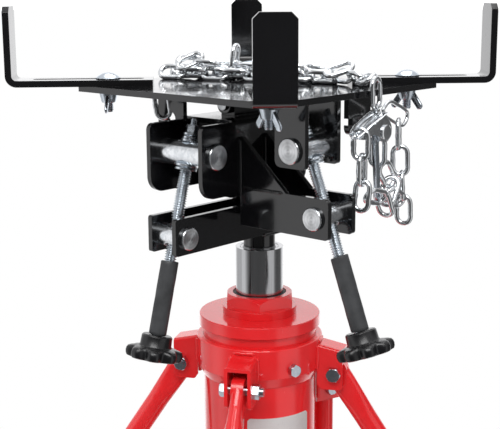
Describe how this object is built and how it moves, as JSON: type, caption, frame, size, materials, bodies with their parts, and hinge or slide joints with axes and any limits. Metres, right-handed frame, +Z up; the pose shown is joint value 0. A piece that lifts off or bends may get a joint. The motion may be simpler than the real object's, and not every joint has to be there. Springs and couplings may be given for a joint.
{
  "type": "transmission jack",
  "caption": "Telescopic hydraulic lift on a braced caster base, with a tilting square saddle that carries slotted corner brackets and a holding chain.",
  "frame": {"origin": "on the floor, under the axis of the ram", "axes": "+Z up along the ram; X and Y along the sides of the saddle plate, with the front tilt screw towards -Y and the side tilt screw towards +X"},
  "size_m": [0.8604, 0.8604, 1.04],
  "materials": {
    "black_paint": "gloss",
    "red_paint": "gloss",
    "zinc": "bright plated",
    "bare_steel": "turned",
    "ram_chrome": "polished",
    "sleeve_rubber": "matte",
    "knob_plastic": "moulded",
    "wheel_tread": "matte"
  },
  "bodies": {
    "base": {"base_block": "red_paint", "base_legs": "red_paint", "caster_plates": "zinc", "leg_braces": "red_paint", "brace_clevises": "red_paint", "brace_fasteners": "zinc", "collar_ring": "red_paint", "reservoir_tube": "red_paint", "pressure_cylinder": "bare_steel", "top_cap": "red_paint", "gland_nut": "red_paint", "wiper_seal": "sleeve_rubber", "stay_tube": "red_paint", "pump_body": "red_paint"},
    "ram_outer": {"ram_outer_stage": "ram_chrome"},
    "ram_inner": {"ram_inner_stage": "ram_chrome"},
    "yoke": {"yoke_post": "black_paint", "yoke_side_plates": "black_paint", "tilt_pivot_pin": "bare_steel"},
    "cradle": {"cradle_channel": "black_paint", "cradle_arms": "black_paint", "cradle_hinge_barrel": "black_paint", "saddle_hinge_pin": "bare_steel"},
    "saddle": {"saddle_plate": "black_paint", "saddle_lugs": "black_paint", "chain_anchors": "black_paint", "bracket_bolts": "zinc", "chain_heap": "zinc"},
    "front_trunnion_high": {"front_upper_trunnion": "bare_steel"},
    "front_trunnion_low": {"front_lower_trunnion": "bare_steel"},
    "front_screw": {"front_tilt_screw": "zinc", "front_screw_sleeve": "sleeve_rubber", "front_screw_knob": "knob_plastic"},
    "side_trunnion_high": {"side_upper_trunnion": "bare_steel"},
    "side_trunnion_low": {"side_lower_trunnion": "bare_steel"},
    "side_screw": {"side_tilt_screw": "zinc", "side_screw_sleeve": "sleeve_rubber", "side_screw_knob": "knob_plastic"},
    "arm_front_left": {"bracket_front_left": "black_paint"},
    "arm_front_right": {"bracket_front_right": "black_paint"},
    "arm_rear_right": {"bracket_rear_right": "black_paint"},
    "arm_rear_left": {"bracket_rear_left": "black_paint"},
    "nut_front_left": {"wing_nut_front_left": "zinc"},
    "nut_front_right": {"wing_nut_front_right": "zinc"},
    "nut_rear_right": {"wing_nut_rear_right": "zinc"},
    "nut_rear_left": {"wing_nut_rear_left": "zinc"},
    "tightener": {"binder_body": "zinc", "chain_strands": "zinc"},
    "tightener_lever": {"binder_lever": "zinc"},
    "pedal": {"foot_pedal": "red_paint"},
    "plunger": {"pump_plunger": "ram_chrome"},
    "release": {"release_lever": "zinc"},
    "fork_front": {"caster_fork_front": "zinc"},
    "fork_right": {"caster_fork_right": "zinc"},
    "fork_rear": {"caster_fork_rear": "zinc"},
    "fork_left": {"caster_fork_left": "zinc"},
    "wheel_front": {"caster_wheel_front": "wheel_tread"},
    "wheel_right": {"caster_wheel_right": "wheel_tread"},
    "wheel_rear": {"caster_wheel_rear": "wheel_tread"},
    "wheel_left": {"caster_wheel_left": "wheel_tread"}
  },
  "joints": [
    {"name": "ram_lower_lift", "type": "slide", "parent": "base", "child": "ram_outer", "axis": [0, 0, 1], "range_m": [-0.045, 0.4]},
    {"name": "ram_upper_lift", "type": "slide", "parent": "ram_outer", "child": "ram_inner", "axis": [0, 0, 1], "range_m": [0, 0.45]},
    {"name": "head_swivel", "type": "hinge", "parent": "ram_inner", "child": "yoke", "pos_m": [0, 0, 0.76], "axis": [0, 0, 1], "continuous": true},
    {"name": "front_tilt", "type": "hinge", "parent": "yoke", "child": "cradle", "pos_m": [0, 0, 0.893], "axis": [1, 0, 0], "range_deg": [-5, 10]},
    {"name": "side_tilt", "type": "hinge", "parent": "cradle", "child": "saddle", "pos_m": [0, 0, 0.9365], "axis": [0, 1, 0], "range_deg": [-5, 8]},
    {"name": "front_high_swing", "type": "hinge", "parent": "cradle", "child": "front_trunnion_high", "pos_m": [0, -0.11, 0.8905], "axis": [1, 0, 0], "range_deg": [-15, 8]},
    {"name": "front_low_swing", "type": "hinge", "parent": "yoke", "child": "front_trunnion_low", "pos_m": [0, -0.1325, 0.807], "axis": [1, 0, 0], "range_deg": [-5, 3]},
    {"name": "front_screw_turn", "type": "hinge", "parent": "front_trunnion_high", "child": "front_screw", "pos_m": [0, -0.11, 0.8905], "axis": [0, -0.2602, -0.9656], "continuous": true},
    {"name": "side_high_swing", "type": "hinge", "parent": "saddle", "child": "side_trunnion_high", "pos_m": [0.113, -0.05175, 0.9005], "axis": [0, 1, 0], "range_deg": [-18, 11]},
    {"name": "side_low_swing", "type": "hinge", "parent": "cradle", "child": "side_trunnion_low", "pos_m": [0.138, -0.05175, 0.8345], "axis": [0, 1, 0], "range_deg": [-10, 6]},
    {"name": "side_screw_turn", "type": "hinge", "parent": "side_trunnion_high", "child": "side_screw", "pos_m": [0.113, -0.05175, 0.9005], "axis": [0.3542, 0, -0.9352], "continuous": true},
    {"name": "front_left_arm_slide", "type": "slide", "parent": "saddle", "child": "arm_front_left", "axis": [-0.7071, -0.7071, 0], "range_m": [-0.01, 0.033]},
    {"name": "front_right_arm_slide", "type": "slide", "parent": "saddle", "child": "arm_front_right", "axis": [0.7071, -0.7071, 0], "range_m": [-0.05, 0.053]},
    {"name": "rear_right_arm_slide", "type": "slide", "parent": "saddle", "child": "arm_rear_right", "axis": [0.7071, 0.7071, 0], "range_m": [-0.003, 0.048]},
    {"name": "rear_left_arm_slide", "type": "slide", "parent": "saddle", "child": "arm_rear_left", "axis": [-0.7071, 0.7071, 0], "range_m": [-0.03, 0.034]},
    {"name": "front_left_nut_turn", "type": "hinge", "parent": "saddle", "child": "nut_front_left", "pos_m": [-0.11582, -0.11582, 0.94], "axis": [0, 0, 1], "continuous": true},
    {"name": "front_right_nut_turn", "type": "hinge", "parent": "saddle", "child": "nut_front_right", "pos_m": [0.11582, -0.11582, 0.94], "axis": [0, 0, 1], "continuous": true},
    {"name": "rear_right_nut_turn", "type": "hinge", "parent": "saddle", "child": "nut_rear_right", "pos_m": [0.11582, 0.11582, 0.94], "axis": [0, 0, 1], "continuous": true},
    {"name": "rear_left_nut_turn", "type": "hinge", "parent": "saddle", "child": "nut_rear_left", "pos_m": [-0.11582, 0.11582, 0.94], "axis": [0, 0, 1], "continuous": true},
    {"name": "tightener_swing", "type": "hinge", "parent": "saddle", "child": "tightener", "pos_m": [0.146, 0.02, 0.955], "axis": [0, 1, 0], "range_deg": [-20, 2]},
    {"name": "tightener_lever_swing", "type": "hinge", "parent": "tightener", "child": "tightener_lever", "pos_m": [0.152, 0.018, 0.913], "axis": [1, 0, 0], "range_deg": [-8, 8]},
    {"name": "pedal_press", "type": "hinge", "parent": "base", "child": "pedal", "pos_m": [0.03669, 0.11635, 0.226], "axis": [-0.9537, 0.3007, 0], "range_deg": [0, 12]},
    {"name": "plunger_stroke", "type": "slide", "parent": "base", "child": "plunger", "axis": [0, 0, -1], "range_m": [0, 0.0095]},
    {"name": "release_turn", "type": "hinge", "parent": "base", "child": "release", "pos_m": [0.08465, 0.16205, 0.126], "axis": [0.9537, -0.3007, 0], "range_deg": [-30, 45]},
    {"name": "front_caster_swivel", "type": "hinge", "parent": "base", "child": "fork_front", "pos_m": [0.20317, -0.39028, 0.1], "axis": [0, 0, 1], "continuous": true},
    {"name": "right_caster_swivel", "type": "hinge", "parent": "base", "child": "fork_right", "pos_m": [0.39028, 0.20317, 0.1], "axis": [0, 0, 1], "continuous": true},
    {"name": "rear_caster_swivel", "type": "hinge", "parent": "base", "child": "fork_rear", "pos_m": [-0.20317, 0.39028, 0.1], "axis": [0, 0, 1], "continuous": true},
    {"name": "left_caster_swivel", "type": "hinge", "parent": "base", "child": "fork_left", "pos_m": [-0.39028, -0.20317, 0.1], "axis": [0, 0, 1], "continuous": true},
    {"name": "front_wheel_roll", "type": "hinge", "parent": "fork_front", "child": "wheel_front", "pos_m": [0.22446, -0.3792, 0.038], "axis": [0.4617, -0.887, 0], "continuous": true},
    {"name": "right_wheel_roll", "type": "hinge", "parent": "fork_right", "child": "wheel_right", "pos_m": [0.3792, 0.22446, 0.038], "axis": [0.887, 0.4617, 0], "continuous": true},
    {"name": "rear_wheel_roll", "type": "hinge", "parent": "fork_rear", "child": "wheel_rear", "pos_m": [-0.22446, 0.3792, 0.038], "axis": [-0.4617, 0.887, 0], "continuous": true},
    {"name": "left_wheel_roll", "type": "hinge", "parent": "fork_left", "child": "wheel_left", "pos_m": [-0.3792, -0.22446, 0.038], "axis": [-0.887, -0.4617, 0], "continuous": true}
  ],
  "couplings": [
    {"joint": "front_high_swing", "follows": "front_tilt", "ratio": -1.456},
    {"joint": "front_low_swing", "follows": "front_tilt", "ratio": -0.456},
    {"joint": "side_high_swing", "follows": "side_tilt", "ratio": -2.14},
    {"joint": "side_low_swing", "follows": "side_tilt", "ratio": -1.14},
    {"joint": "plunger_stroke", "follows": "pedal_press", "m_per_rad": 0.043}
  ]
}
